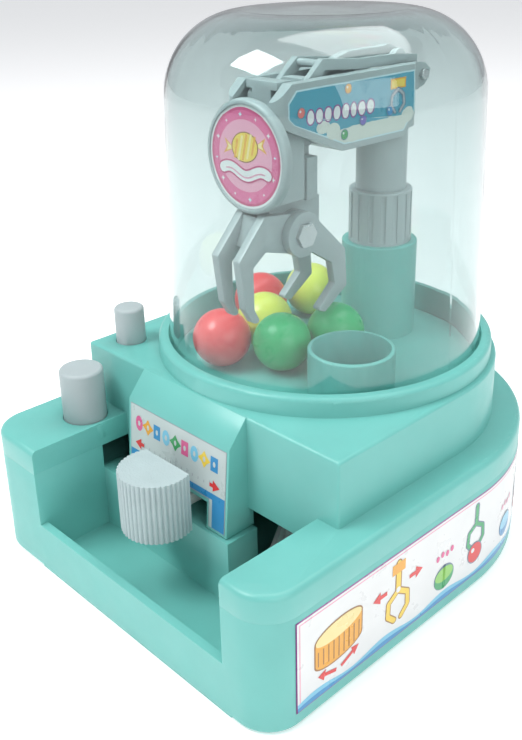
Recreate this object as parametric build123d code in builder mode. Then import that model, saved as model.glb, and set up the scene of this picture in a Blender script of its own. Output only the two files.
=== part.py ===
from build123d import *
import os
from math import asin, atan2, cos, degrees, pi, radians, sin, sqrt, tan

os.makedirs("parts", exist_ok=True)

# Toy claw crane machine. X right, Y back, Z up, millimetres.
# The origin is the middle of the footprint, on the surface that the machine stands on.

# ---- driving dimensions: casing ----
BASE_HALF = 69.0          # half width of the D-shaped base
AXIS_Y = 13.5             # dome axis, and centre of the round back
FRONT_Y = -82.5           # front face of the base
CORNER_R = 12.0           # rounded front corners
WALL = 2.2                # moulded wall
PLATE_T = 2.0             # base plate
SEAM_Z = 37.5             # joint between the lower and the upper shell
LEDGE_Z = 46.0            # top of the low tier
SILL_Z = 18.0             # front lip of the ball tray
TRAY_Z = 6.0              # tray floor
TRAY_LEFT = -40.3
TRAY_RIGHT = 51.3
STEP_Y = -55.5            # front of the step under the knob panel
STEP_Z = 28.7
EXIT_X = 24.0             # left side of the ball exit
EXIT_Z = 36.0             # top of the ball exit
TIER_FRONT = -44.6
TIER_HALF = 59.3
TIER_Z = 67.5
RING_R = 57.5             # collar that holds the dome
RING_Z = 73.7
DOME_R = 53.8             # dome's outer radius at its foot
DOME_SHOULDER_R = 50.1
DOME_TOP = 179.8
DOME_T = 1.1
FLOOR_Z = 63.6            # play floor
FLOOR_T = 2.2
PANEL_LEFT, PANEL_RIGHT = -27.2, 22.1
PANEL_TOP_Y, PANEL_TOP_Z = -51.6, 59.2
PANEL_FOOT_Y = -54.2

# ---- driving dimensions: moving parts ----
COLUMN_Y = 43.2           # crane column axis, at x = 0
CHUTE = (26.8, -2.6)      # ball chute axis
CHUTE_R = 14.0
CHUTE_TOP = 78.3
SOCKET_R, SOCKET_TOP = 13.5, 98.2
SLEEVE_R, SLEEVE_TOP = 11.2, 117.1
TUBE_R, TUBE_TOP = 8.95, 150.0
RUN = 0.1                 # running clearance, radial
ROD_R = 5.5               # lift rod
GRIP_ROD_R = 2.5
MODULE = 1.2
COLUMN_TEETH, LEVER_TEETH = 22, 45
GEAR_Z, GEAR_T = 35.5, 4.8
LEVER_Y = COLUMN_Y - MODULE * (COLUMN_TEETH + LEVER_TEETH) / 2
BOOM_HALF = 11.65
BOOM_TOP = 160.3
BOOM_PIN = (52.0, 156.0)  # Y, Z of the pin at the back of the boom
HUB = (-5.5, 112.7)       # Y, Z of the jaw pin
LIFT_BUTTON = (-49.4, -55.3)
GRIP_BUTTON = (-49.8, -33.2)
LIFT_ROCKER_Z, GRIP_ROCKER_Z = 19.0, 10.5
ROCKER_T = 4.5
LIFT_PIVOT_Y, GRIP_PIVOT_Y = 24.6, 33.6
SEAT_Z = 26.2             # spring seat under the buttons
BALL_R = 9.9


def save(piece, name):
    """Label a finished piece and write its STEP file."""
    piece.label = name
    export_step(piece, "parts/" + name + ".step")


def d_outline(inset, half=BASE_HALF, front=FRONT_Y, corner=CORNER_R):
    """The base's plan: straight front with round corners and a half-round back."""
    r = half - inset
    f = front + inset
    with BuildSketch() as outline:
        with BuildLine():
            Line((-r, AXIS_Y), (-r, f))
            Line((-r, f), (r, f))
            Line((r, f), (r, AXIS_Y))
            ThreePointArc((r, AXIS_Y), (0, AXIS_Y + r), (-r, AXIS_Y))
        make_face()
        if corner > inset:
            fillet(outline.vertices().group_by(Axis.Y)[0], corner - inset)
    return outline.sketch


def slab(x0, x1, y0, y1, z0, z1, mode=Mode.ADD):
    """A box between two corners, in the part being built."""
    with Locations(((x0 + x1) / 2, (y0 + y1) / 2, (z0 + z1) / 2)):
        Box(x1 - x0, y1 - y0, z1 - z0, mode=mode)


def post(x, y, r, z0, z1, mode=Mode.ADD):
    """An upright cylinder from z0 to z1."""
    with Locations((x, y, (z0 + z1) / 2)):
        Cylinder(r, z1 - z0, mode=mode)


def rod_x(y, z, r, x0, x1, mode=Mode.ADD):
    """A cylinder along X from x0 to x1."""
    with Locations(Location(((x0 + x1) / 2, y, z), (0, 90, 0))):
        Cylinder(r, x1 - x0, mode=mode)


def plate_x(points, x0, x1, corner=0.0):
    """A plate whose outline is given in Y, Z and whose faces are at x0 and x1."""
    with BuildPart(mode=Mode.PRIVATE) as plate:
        with BuildSketch(Plane.YZ.offset(x0)) as outline:
            Polygon(*points, align=None)
            if corner:
                fillet(outline.vertices(), corner)
        extrude(amount=x1 - x0)
    return plate.part


# ---- screws ----
BASE_SCREWS = [(-58, -70), (58, -70), (-50, 48), (50, 48)]


def screw(x, y, z, length, head_r=2.8, shank_r=1.25):
    """A pan-head screw pointing up, with its head's face at height z."""
    post(x, y, head_r, z, z + 1.6)
    post(x, y, shank_r, z + 1.6, z + length)
    slab(x - 2.0, x + 2.0, y - 0.35, y + 0.35, z - 0.1, z + 0.7, Mode.SUBTRACT)
    slab(x - 0.35, x + 0.35, y - 2.0, y + 2.0, z - 0.1, z + 0.7, Mode.SUBTRACT)


with BuildPart() as base_plate:
    with BuildSketch():
        add(d_outline(WALL + 0.25))
    extrude(amount=PLATE_T)
    slab(TRAY_LEFT - WALL - 0.3, TRAY_RIGHT + WALL + 0.3, FRONT_Y, STEP_Y + WALL + 0.6,
         -1, PLATE_T + 1, Mode.SUBTRACT)
    post(0, LEVER_Y, 6.0, PLATE_T, GEAR_Z - 0.2)
    post(0, LEVER_Y, 2.5, GEAR_Z - 8, GEAR_Z + 1, Mode.SUBTRACT)
    for sx, sy in BASE_SCREWS:
        post(sx, sy, 1.6, -1, PLATE_T + 1, Mode.SUBTRACT)
        post(sx, sy, 3.0, -1, 1.9, Mode.SUBTRACT)
save(base_plate.part, "base_plate")

with BuildPart() as base_screws:
    for sx, sy in BASE_SCREWS:
        screw(sx, sy, 0.2, 12.0)
save(base_screws.part, "base_screws")

# ---- lower shell: the D-shaped tub with the ball tray ----
with BuildPart() as lower_shell:
    with BuildSketch():
        add(d_outline(0))
    extrude(amount=SEAM_Z)
    fillet(lower_shell.edges().group_by(Axis.Z)[0], 2.0)
    with BuildSketch(Plane.XY.offset(-1)):
        add(d_outline(WALL))
    extrude(amount=SEAM_Z + 2, mode=Mode.SUBTRACT)
    # tray tub and the step behind it
    slab(TRAY_LEFT - WALL, TRAY_RIGHT + WALL, FRONT_Y + 0.5, STEP_Y + WALL, 0, SEAM_Z)
    slab(TRAY_LEFT - WALL, EXIT_X, STEP_Y, TIER_FRONT + 1.6, PLATE_T + 0.1, STEP_Z)
    slab(TRAY_LEFT - WALL, EXIT_X - WALL, STEP_Y + WALL, TIER_FRONT + 2, -1, STEP_Z - WALL, Mode.SUBTRACT)
    slab(TRAY_LEFT, TRAY_RIGHT, FRONT_Y + WALL + 0.6, STEP_Y, TRAY_Z, SEAM_Z + 1, Mode.SUBTRACT)
    slab(TRAY_LEFT, TRAY_RIGHT, FRONT_Y - 1, FRONT_Y + 4, SILL_Z, SEAM_Z + 1, Mode.SUBTRACT)
    slab(TRAY_LEFT - WALL - 1, EXIT_X, STEP_Y, STEP_Y + WALL + 1, STEP_Z, SEAM_Z + 1, Mode.SUBTRACT)
    slab(EXIT_X, TRAY_RIGHT, STEP_Y - 1, STEP_Y + WALL + 1, TRAY_Z, SEAM_Z + 1, Mode.SUBTRACT)
    slab(TRAY_LEFT - 0.1, TRAY_RIGHT + 0.1, FRONT_Y + WALL + 0.6, STEP_Y - 0.2,
         -1, TRAY_Z - WALL, Mode.SUBTRACT)
    # spring seat under the two buttons
    slab(-BASE_HALF + 1, TRAY_LEFT - WALL + 0.5, -66, -24, SEAT_Z - 2.2, SEAT_Z)
    slab(TRAY_LEFT - WALL, TRAY_LEFT - WALL + 3, STEP_Y + WALL, -24, SEAT_Z - 3, SEAT_Z + 1, Mode.SUBTRACT)
    post(*LIFT_BUTTON, 3.4, SEAT_Z - 4, SEAT_Z + 1, Mode.SUBTRACT)
    post(*GRIP_BUTTON, 3.0, SEAT_Z - 4, SEAT_Z + 1, Mode.SUBTRACT)
    # screw bosses
    for sx, sy in BASE_SCREWS:
        post(sx, sy, 4.0, PLATE_T + 0.1, 16)
        wall_x = (BASE_HALF - 1.2 if sy < 0 else 58.2) * (1 if sx > 0 else -1)
        slab(min(sx, wall_x), max(sx, wall_x), sy - 1.2, sy + 1.2, PLATE_T + 0.1, 16)
    for sx, sy in BASE_SCREWS:
        post(sx, sy, 1.25, 0, 13.5, Mode.SUBTRACT)
save(lower_shell.part, "lower_shell")

# ---- upper shell: ledge, tier, dome collar and knob panel in one moulding ----
PANEL = [(TIER_FRONT + 2, TIER_Z), (TIER_FRONT, TIER_Z), (PANEL_TOP_Y, PANEL_TOP_Z),
         (PANEL_FOOT_Y, STEP_Z + 0.4), (TIER_FRONT + 2, STEP_Z + 0.4)]
PANEL_INSIDE = [(TIER_FRONT + 3, TIER_Z - 3.2), (TIER_FRONT, TIER_Z - 3.2),
                (PANEL_TOP_Y + WALL, PANEL_TOP_Z - 1.2), (PANEL_FOOT_Y + WALL, STEP_Z),
                (TIER_FRONT + 3, STEP_Z)]
SLOT_X0, SLOT_X1, SLOT_TOP = -15.6, 12.8, 38.0

with BuildPart() as upper_shell:
    # low ledge, with a soft top edge
    with BuildSketch(Plane.XY.offset(SEAM_Z)):
        add(d_outline(0))
    extrude(amount=LEDGE_Z - SEAM_Z)
    fillet(upper_shell.edges().group_by(Axis.Z)[-1], 2.0)
    slab(TRAY_LEFT, TRAY_RIGHT, FRONT_Y - 1, TIER_FRONT, SEAM_Z - 1, LEDGE_Z + 1, Mode.SUBTRACT)
    # tier
    with BuildSketch(Plane.XY.offset(SEAM_Z)):
        add(d_outline(0, TIER_HALF, TIER_FRONT, 0.8))
    extrude(amount=TIER_Z - SEAM_Z)
    fillet(upper_shell.edges().group_by(Axis.Z)[-1], 1.0)
    # collar around the dome
    with BuildSketch(Plane.XY.offset(TIER_Z)):
        with Locations((0, AXIS_Y)):
            Circle(RING_R)
    extrude(amount=RING_Z - TIER_Z)
    fillet(upper_shell.edges().group_by(Axis.Z)[-1], 1.6)
    # wall over the ball exit and beside the panel reaches a little lower than the seam
    slab(TRAY_LEFT + 0.3, TRAY_RIGHT - 0.3, TIER_FRONT, TIER_FRONT + WALL, EXIT_Z, SEAM_Z + 1)
    slab(TRAY_LEFT + 0.3, PANEL_LEFT + 0.5, TIER_FRONT, TIER_FRONT + WALL, STEP_Z + 0.2, SEAM_Z + 1)
    add(plate_x(PANEL, PANEL_LEFT, PANEL_RIGHT, 0))
    # hollow inside
    with BuildSketch(Plane.XY.offset(SEAM_Z - 1)):
        add(d_outline(WALL))
        with Locations(((TRAY_LEFT + TRAY_RIGHT) / 2, (FRONT_Y + TIER_FRONT) / 2 - 10)):
            Rectangle(TRAY_RIGHT - TRAY_LEFT + 2 * WALL, TIER_FRONT - FRONT_Y + 20 + 2 * WALL,
                      mode=Mode.SUBTRACT)
    extrude(amount=LEDGE_Z - WALL - SEAM_Z + 1, mode=Mode.SUBTRACT)
    with BuildSketch(Plane.XY.offset(SEAM_Z - 1)):
        add(d_outline(WALL, TIER_HALF, TIER_FRONT, 0.8))
    extrude(amount=TIER_Z - WALL - SEAM_Z + 1, mode=Mode.SUBTRACT)
    add(plate_x(PANEL_INSIDE, PANEL_LEFT + WALL, PANEL_RIGHT - WALL), mode=Mode.SUBTRACT)
    slab(SLOT_X0, SLOT_X1, PANEL_FOOT_Y - 2, TIER_FRONT + 4, STEP_Z - 1, SLOT_TOP, Mode.SUBTRACT)
    # play floor seat: a step inside the collar
    post(0, AXIS_Y, RING_R - 0.2, FLOOR_Z - FLOOR_T - WALL, TIER_Z)
    post(0, AXIS_Y, DOME_R + 0.3, FLOOR_Z - FLOOR_T, RING_Z + 1, Mode.SUBTRACT)
    post(0, AXIS_Y, DOME_R - 5, FLOOR_Z - 12, RING_Z + 1, Mode.SUBTRACT)
    # button guides
    post(*LIFT_BUTTON, 9.4, SEAM_Z + 2.8, LEDGE_Z - 0.5)
    post(*LIFT_BUTTON, 7.55 + 0.25, 0, LEDGE_Z + 1, Mode.SUBTRACT)
    post(*GRIP_BUTTON, 7.0, TIER_Z - 5, TIER_Z - 0.5)
    post(*GRIP_BUTTON, 5.2 + 0.25, 0, TIER_Z + 1, Mode.SUBTRACT)
save(upper_shell.part, "upper_shell")

# ---- play floor with the ball chute and the column socket ----
with BuildPart() as play_floor:
    post(0, AXIS_Y, DOME_R, FLOOR_Z - FLOOR_T, FLOOR_Z)
    post(*CHUTE, CHUTE_R, 46.0, CHUTE_TOP)
    fillet(play_floor.edges().group_by(Axis.Z)[-1], 0.5)
    post(0, COLUMN_Y, SOCKET_R, FLOOR_Z - FLOOR_T, SOCKET_TOP)
    fillet(play_floor.edges().group_by(Axis.Z)[-1], 0.5)
    post(*CHUTE, CHUTE_R - 1.3, 40, CHUTE_TOP + 1, Mode.SUBTRACT)
    post(0, COLUMN_Y, SLEEVE_R + RUN, 40, SOCKET_TOP + 1, Mode.SUBTRACT)
save(play_floor.part, "play_floor")


def dome_form(inset):
    """The dome's outer form, or the space inside it when inset by the wall."""
    foot = FLOOR_Z + 0.2 - inset
    with BuildPart(mode=Mode.PRIVATE) as form:
        with BuildSketch(Plane.XZ) as half:
            with BuildLine():
                Line((0, foot), (DOME_R - inset, foot))
                Line((DOME_R - inset, foot), (DOME_SHOULDER_R - inset, DOME_TOP - 1.6 - inset))
                Spline((DOME_SHOULDER_R - inset, DOME_TOP - 1.6 - inset), (0, DOME_TOP - inset),
                       tangents=((-1, 0.06), (-1, 0)))
                Line((0, DOME_TOP - inset), (0, foot))
            make_face()
            fillet(half.vertices().sort_by(Axis.X)[-2:].sort_by(Axis.Y)[-1], 25.5 - inset)
        revolve(axis=Axis.Z)
    return form.part


# ---- clear dome ----
with BuildPart() as dome:
    with Locations((0, AXIS_Y, 0)):
        add(dome_form(0))
        add(dome_form(DOME_T), mode=Mode.SUBTRACT)
save(dome.part, "dome")

# ---- ball ramp under the chute, down to the tray ----
RAMP_BACK, RAMP_FRONT = (15.0, 31.0), (-54.5, 6.6)
RAMP_T = 2.0
RAMP_PLAN = [(12.6, 15), (50.8, 15), (50.8, -52.6), (24.6, -52.6), (24.6, -38), (12.6, -14)]


def ramp_slab(top, bottom):
    """A sloping slab wider than the ramp, between two heights above its path."""
    (y0, z0), (y1, z1) = RAMP_FRONT, RAMP_BACK
    return plate_x([(y0, z0 + bottom), (y1, z1 + bottom), (y1, z1 + top), (y0, z0 + top)], 0, 60)


with BuildPart() as ball_ramp:
    with BuildSketch():
        Polygon(*RAMP_PLAN, align=None)
    extrude(amount=60)
    with BuildSketch():
        Polygon(*RAMP_PLAN, align=None)
        offset(amount=-1.6)
        with Locations((38, -50)):
            Rectangle(23.4, 12)
    extrude(amount=60, mode=Mode.SUBTRACT)
    add(ramp_slab(7, 0), mode=Mode.INTERSECT)
    with BuildPart(mode=Mode.PRIVATE) as ramp_floor:
        with BuildSketch():
            Polygon(*RAMP_PLAN, align=None)
        extrude(amount=60)
        add(ramp_slab(RAMP_T, 0), mode=Mode.INTERSECT)
    add(ramp_floor.part)
save(ball_ramp.part, "ball_ramp")


# ---- gears ----
def gear_face(teeth, chosen, hub_r, backlash=0.2):
    """Involute spur gear outline: the chosen teeth, the first one centred on +X."""
    pitch_r = MODULE * teeth / 2
    base_r = pitch_r * cos(radians(20))
    root_r = pitch_r - 1.25 * MODULE
    tip_r = pitch_r + 0.95 * MODULE
    half_at_pitch = (pi * MODULE / 2 - backlash) / 2 / pitch_r + tan(radians(20)) - radians(20)

    def flank(r):
        turn = sqrt(max((r / base_r) ** 2 - 1, 0))
        return half_at_pitch - (turn - atan2(turn, 1))

    rise = max(root_r, base_r)
    radii = [rise + (tip_r - rise) * step / 4 for step in range(5)]
    side = [((root_r - 0.4) * cos(flank(rise)), (root_r - 0.4) * sin(flank(rise)))]
    side += [(r * cos(flank(r)), r * sin(flank(r))) for r in radii]
    other = [(x, -y) for x, y in reversed(side)]
    with BuildSketch() as face:
        Circle(root_r if hub_r is None else hub_r)
        for tooth in chosen:
            with Locations(Location((0, 0, 0), (0, 0, tooth * 360 / teeth))):
                Polygon(*side, *other, align=None)
    return face.sketch


# ---- knob lever: arm to the knob, and a toothed sector at the back ----
SECTOR_TEETH = range(-3, 4)
SECTOR_R = MODULE * LEVER_TEETH / 2 - 1.25 * MODULE
LEVER_Z = GEAR_Z + 0.5
LEVER_T = 3.8
ARM_Z = 32.2                # the arm steps down to pass through the slot
KNOB_FLAT_Y = -58.2
with BuildPart() as knob_lever:
    with BuildSketch(Plane(origin=(0, LEVER_Y, LEVER_Z), x_dir=(0, 1, 0), z_dir=(0, 0, 1))):
        add(gear_face(LEVER_TEETH, SECTOR_TEETH, 7.0))
        with BuildLine():
            Line((0, 0), (SECTOR_R * cos(radians(-27)), SECTOR_R * sin(radians(-27))))
            RadiusArc((SECTOR_R * cos(radians(-27)), SECTOR_R * sin(radians(-27))),
                      (SECTOR_R * cos(radians(27)), SECTOR_R * sin(radians(27))), -SECTOR_R)
            Line((SECTOR_R * cos(radians(27)), SECTOR_R * sin(radians(27))), (0, 0))
        make_face()
        with Locations((14.5, 0)):
            SlotOverall(9, 5, mode=Mode.SUBTRACT)
    extrude(amount=LEVER_T)
    slab(-3.5, 3.5, -22.0, LEVER_Y, LEVER_Z, LEVER_Z + LEVER_T)
    slab(-3.5, 3.5, -24.0, -20.0, ARM_Z, LEVER_Z + LEVER_T)
    slab(-3.5, 3.5, -56.5, -20.0, ARM_Z, ARM_Z + LEVER_T)
    slab(-2.5, 2.5, -66.0, -56.5, ARM_Z, ARM_Z + LEVER_T)
    post(0, LEVER_Y, 6.0, LEVER_Z, LEVER_Z + 7)
    post(0, LEVER_Y, 2.5 + RUN, LEVER_Z - 1, LEVER_Z + 8, Mode.SUBTRACT)
save(knob_lever.part, "knob_lever")

with BuildPart() as lever_pin:
    post(0, LEVER_Y, 2.5, GEAR_Z - 8, LEVER_Z + 7.3)
    post(0, LEVER_Y, 4.0, LEVER_Z + 7.3, LEVER_Z + 8.8)
    fillet(lever_pin.edges().group_by(Axis.Z)[-1], 0.6)
save(lever_pin.part, "lever_pin")

# ---- knob: round, ribbed, cut off flat at the back ----
KNOB_R, KNOB_Z0, KNOB_Z1 = 11.8, 29.0, 49.2
KNOB_Y = KNOB_FLAT_Y - 4.9
KNOB_RIBS = 22
with BuildPart() as knob:
    with BuildSketch(Plane.XY.offset(KNOB_Z0)):
        with Locations((0, KNOB_Y)):
            Circle(KNOB_R - 0.5)
        with Locations((0, KNOB_Y)):
            with PolarLocations(KNOB_R - 0.75, 2 * KNOB_RIBS):
                Circle(0.75)
        with Locations((0, KNOB_FLAT_Y + KNOB_R)):
            Rectangle(3 * KNOB_R, 2 * KNOB_R, mode=Mode.SUBTRACT)
    extrude(amount=KNOB_Z1 - KNOB_Z0)
    slab(-2.7, 2.7, -66.3, KNOB_FLAT_Y + 1, ARM_Z - 0.2, ARM_Z + LEVER_T + 0.2, Mode.SUBTRACT)
save(knob.part, "knob")

# ---- column: gear, sleeve and tube turn together ----
ROD_BORE = ROD_R + RUN
with BuildPart() as column_gear:
    with BuildSketch(Plane(origin=(0, COLUMN_Y, GEAR_Z), x_dir=(0, -1, 0), z_dir=(0, 0, 1))):
        add(gear_face(COLUMN_TEETH, [tooth + 0.5 for tooth in range(COLUMN_TEETH)], None))
    extrude(amount=GEAR_T)
    post(0, COLUMN_Y, 9.6, GEAR_Z - 1.7, GEAR_Z)
    post(0, COLUMN_Y, 8.0, 30.2, GEAR_Z)
    post(0, COLUMN_Y, SLEEVE_R, GEAR_Z + GEAR_T, 48)
    post(0, COLUMN_Y, ROD_BORE, 20, 60, Mode.SUBTRACT)
save(column_gear.part, "column_gear")

with BuildPart() as column_sleeve:
    post(0, COLUMN_Y, SLEEVE_R, 48, SLEEVE_TOP)
    fillet(column_sleeve.edges().group_by(Axis.Z)[-1], 0.5)
    with Locations((0, COLUMN_Y, (SOCKET_TOP + 1 + SLEEVE_TOP - 1) / 2)):
        with PolarLocations(SLEEVE_R, 16):
            Box(0.8, 1.6, SLEEVE_TOP - SOCKET_TOP - 2, mode=Mode.SUBTRACT)
    post(0, COLUMN_Y, TUBE_R + 0.03, 47, SLEEVE_TOP + 1, Mode.SUBTRACT)
save(column_sleeve.part, "column_sleeve")

with BuildPart() as column_tube:
    post(0, COLUMN_Y, TUBE_R, 48, TUBE_TOP)
    post(0, COLUMN_Y, ROD_BORE, 47, TUBE_TOP + 1, Mode.SUBTRACT)
save(column_tube.part, "column_tube")

with BuildPart() as column_bearing:
    slab(-30, 30, COLUMN_Y - 9, COLUMN_Y + 9, 30.6, 33.4)
    for side in (-28, 28):
        slab(side - 2, side + 2, COLUMN_Y - 4, COLUMN_Y + 4, PLATE_T, 30.6)
    post(0, COLUMN_Y, 8.0 + 0.08, 20, 40, Mode.SUBTRACT)
save(column_bearing.part, "column_bearing")

# ---- rods inside the column ----
LIFT_ROD_TOP, GRIP_ROD_TOP = 158.4, 161.0
with BuildPart() as lift_rod:
    post(0, COLUMN_Y, 7.3, 24.0, 26.0)
    post(0, COLUMN_Y, ROD_R, 26.0, LIFT_ROD_TOP)
    post(0, COLUMN_Y, GRIP_ROD_R + RUN, 20, LIFT_ROD_TOP + 1, Mode.SUBTRACT)
save(lift_rod.part, "lift_rod")

with BuildPart() as grip_rod:
    post(0, COLUMN_Y, GRIP_ROD_R, GRIP_ROCKER_Z + ROCKER_T + 0.4, GRIP_ROD_TOP)
    fillet(grip_rod.edges().group_by(Axis.Z)[-1], 0.5)
save(grip_rod.part, "grip_rod")

# ---- rockers under the column ----
LIFT_PATH = [LIFT_BUTTON, (-60, -44), (-60, -4), (-30, 14), (-30, 29), (-5.5, 31.5)]
GRIP_PATH = [GRIP_BUTTON, (-44, -24), (-44, 4), (-16, 23), (-16, 37), (0, COLUMN_Y)]
LIFT_PIVOT_X, GRIP_PIVOT_X = -30.0, -16.0
PIVOT_R = 1.5


def rocker(path, pivot_x, pivot_y, z):
    """A flat rocker along a bent path, with a hub on its pivot pin."""
    with BuildPart(mode=Mode.PRIVATE) as arm:
        with BuildSketch(Plane.XY.offset(z)):
            with BuildLine():
                Polyline(*path)
            trace(line_width=6.0)
            for end in (path[0], path[-1]):
                with Locations(end):
                    Circle(3.4)
        extrude(amount=ROCKER_T)
        rod_x(pivot_y, z + ROCKER_T / 2, 3.6, pivot_x - 4, pivot_x + 4)
        rod_x(pivot_y, z + ROCKER_T / 2, PIVOT_R + RUN, pivot_x - 12, pivot_x + 12, Mode.SUBTRACT)
    return arm.part


with BuildPart() as lift_rocker:
    add(rocker(LIFT_PATH, LIFT_PIVOT_X, LIFT_PIVOT_Y, LIFT_ROCKER_Z))
    slab(-7.5, 7.5, 29.5, 33.5, LIFT_ROCKER_Z, LIFT_ROCKER_Z + ROCKER_T)
    for tine in (-5.6, 5.6):
        slab(tine - 1.6, tine + 1.6, 31, COLUMN_Y + 1.2, LIFT_ROCKER_Z, LIFT_ROCKER_Z + ROCKER_T)
save(lift_rocker.part, "lift_rocker")

with BuildPart() as grip_rocker:
    add(rocker(GRIP_PATH, GRIP_PIVOT_X, GRIP_PIVOT_Y, GRIP_ROCKER_Z))
save(grip_rocker.part, "grip_rocker")


def pivot_bracket(pivot_x, pivot_y, z):
    """A stand on the base plate that holds a rocker's pin, beside its hub."""
    with BuildPart(mode=Mode.PRIVATE) as stand:
        slab(pivot_x - 8.3, pivot_x - 4.5, pivot_y - 3, pivot_y + 3, PLATE_T, z + ROCKER_T / 2 + 2.6)
        slab(pivot_x - 8.3, pivot_x - 4.5, pivot_y - 7, pivot_y + 7, PLATE_T, PLATE_T + 2)
        rod_x(pivot_y, z + ROCKER_T / 2, PIVOT_R, pivot_x - 12, pivot_x + 12, Mode.SUBTRACT)
    return stand.part


for name, px, py, pz in (("lift", LIFT_PIVOT_X, LIFT_PIVOT_Y, LIFT_ROCKER_Z),
                         ("grip", GRIP_PIVOT_X, GRIP_PIVOT_Y, GRIP_ROCKER_Z)):
    save(pivot_bracket(px, py, pz), name + "_bracket")
    with BuildPart() as rocker_pin:
        rod_x(py, pz + ROCKER_T / 2, PIVOT_R, px - 8.3, px + 4.8)
    save(rocker_pin.part, name + "_rocker_pin")


# ---- buttons and their springs ----
def button(x, y, r, cap_bottom, cap_top, flange_z, stem_z, stem_r):
    """A push button: cap, stop bar under the casing, spring collar and stem."""
    with BuildPart(mode=Mode.PRIVATE) as piece:
        post(x, y, r, cap_bottom, cap_top)
        fillet(piece.edges().group_by(Axis.Z)[-1], 1.2)
        slab(x - 3, x + 3, y - r - 1.4, y + r + 1.4, flange_z - 2, flange_z)
        post(x, y, stem_r + 1.4, SPRING_TOP, cap_bottom + 1)
        post(x, y, stem_r, stem_z, SPRING_TOP + 1)
        post(x, y, 5.0, SPRING_TOP, SPRING_TOP + 1.6)
    return piece.part


SPRING_TOP = 38.3
SPRING_WIRE = 0.45
save(button(*LIFT_BUTTON, 7.55, 43.9, 64.2, SPRING_TOP + 1.6, LIFT_ROCKER_Z + ROCKER_T + 0.3, 2.8),
     "lift_button")
save(button(*GRIP_BUTTON, 5.2, 60.2, 80.3, 62.2, GRIP_ROCKER_Z + ROCKER_T + 0.3, 2.4), "grip_button")

for name, place in (("lift_spring", LIFT_BUTTON), ("grip_spring", GRIP_BUTTON)):
    low, high = SEAT_Z + SPRING_WIRE + 0.2, SPRING_TOP - SPRING_WIRE - 0.4
    with BuildPart() as spring:
        with BuildLine():
            coil = Helix((high - low) / 5, high - low, 4.0, center=(*place, low))
        with BuildSketch(Plane(origin=coil @ 0, z_dir=coil % 0)):
            Circle(SPRING_WIRE)
        sweep()
    save(spring.part, name)

# ---- boom: two moulded halves around the column top ----
BOOM_FRONT, BOOM_BACK, BOOM_T = -18.7, 47.3, 1.8
BOOM_SIDE = [(BOOM_BACK, BOOM_TOP), (BOOM_BACK, 144.1), (40.7, 136.8), (9.5, 137.1), (-13.3, 146.4),
             (BOOM_FRONT, 149.0), (BOOM_FRONT, 155.5), (-13.0, BOOM_TOP)]
SLOT_HALF = 7.6


def boom_block(inset, corner):
    """The boom's outer form, or its hollow when inset by the wall."""
    with BuildPart(mode=Mode.PRIVATE) as block:
        with BuildSketch(Plane.YZ) as side:
            Polygon(*BOOM_SIDE, align=None)
            if inset:
                offset(amount=-inset)
        extrude(amount=BOOM_HALF - inset, both=True)
        with BuildSketch(Plane.XY.offset(130)) as plan:
            with Locations((0, (BOOM_FRONT + BOOM_BACK) / 2)):
                Rectangle(2 * (BOOM_HALF - inset), BOOM_BACK - BOOM_FRONT - 2 * inset)
            fillet(plan.vertices().group_by(Axis.Y)[0], corner)
            fillet(plan.vertices().group_by(Axis.Y)[-1], 2.5)
        extrude(amount=40, mode=Mode.INTERSECT)
    return block.part


CARRIAGE_HALF, CARRIAGE_Y0, CARRIAGE_Y1 = 7.5, -18.7, -2.8
BAR_HALF, BAR_Y0, BAR_Y1 = 4.0, -1.4, 3.3
with BuildPart() as boom:
    add(boom_block(0, 3.6))
    add(boom_block(BOOM_T, 1.8), mode=Mode.SUBTRACT)
    post(0, COLUMN_Y, TUBE_R + 1.9, 139.0, TUBE_TOP)
    for ear in (-1, 1):
        add(plate_x([(38, 151), (50, 151), (53, 152.2), (55.6, 154.6), (55.6, 157.4), (53, 159.8),
                     (50, BOOM_TOP), (38, BOOM_TOP)], ear * 8.8 - 1.0, ear * 8.8 + 1.0))
    slab(-SLOT_HALF, SLOT_HALF, -20, 58, TUBE_TOP, 162, Mode.SUBTRACT)
    slab(-CARRIAGE_HALF - 0.4, CARRIAGE_HALF + 0.4, -20, CARRIAGE_Y1 + 0.4, 130, 162, Mode.SUBTRACT)
    slab(-7.2, 7.2, CARRIAGE_Y1, BAR_Y1 + 0.6, 130, 152, Mode.SUBTRACT)
    post(0, COLUMN_Y, TUBE_R + 0.03, 130, TUBE_TOP + 0.1, Mode.SUBTRACT)
    rod_x(*BOOM_PIN, 1.8, -14, 14, Mode.SUBTRACT)
for name, keep in (("boom_left", Keep.BOTTOM), ("boom_right", Keep.TOP)):
    with BuildPart() as boom_half:
        add(boom.part)
        split(bisect_by=Plane.YZ, keep=keep)
    save(boom_half.part, name)

with BuildPart() as boom_pin:
    rod_x(*BOOM_PIN, 1.8, -11.2, 11.2)
    fillet(boom_pin.edges().filter_by(GeomType.CIRCLE), 0.4)
save(boom_pin.part, "boom_pin")

# flat picture plates on the boom's sides
STICKER_T = 0.3
STICKER_SIDE = [(45.4, 158.4), (45.4, 145.0), (40.0, 138.8), (10.2, 139.1), (-12.2, 148.3), (-14.6, 150.5),
                (-14.6, 155.0), (-11.5, 158.4)]
for name, x0 in (("boom_sticker_left", -BOOM_HALF - STICKER_T), ("boom_sticker_right", BOOM_HALF)):
    save(plate_x(STICKER_SIDE, x0, x0 + STICKER_T), name)

# ---- levers on top of the boom ----
LIFT_BOSS, GRIP_BOSS = (COLUMN_Y, 162.0), (COLUMN_Y, 164.0)
LIFT_NOSE, GRIP_NOSE = (-11.0, 155.2), (1.0, 154.6)
LIFT_BAR = (6.5, 163.6)


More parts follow.
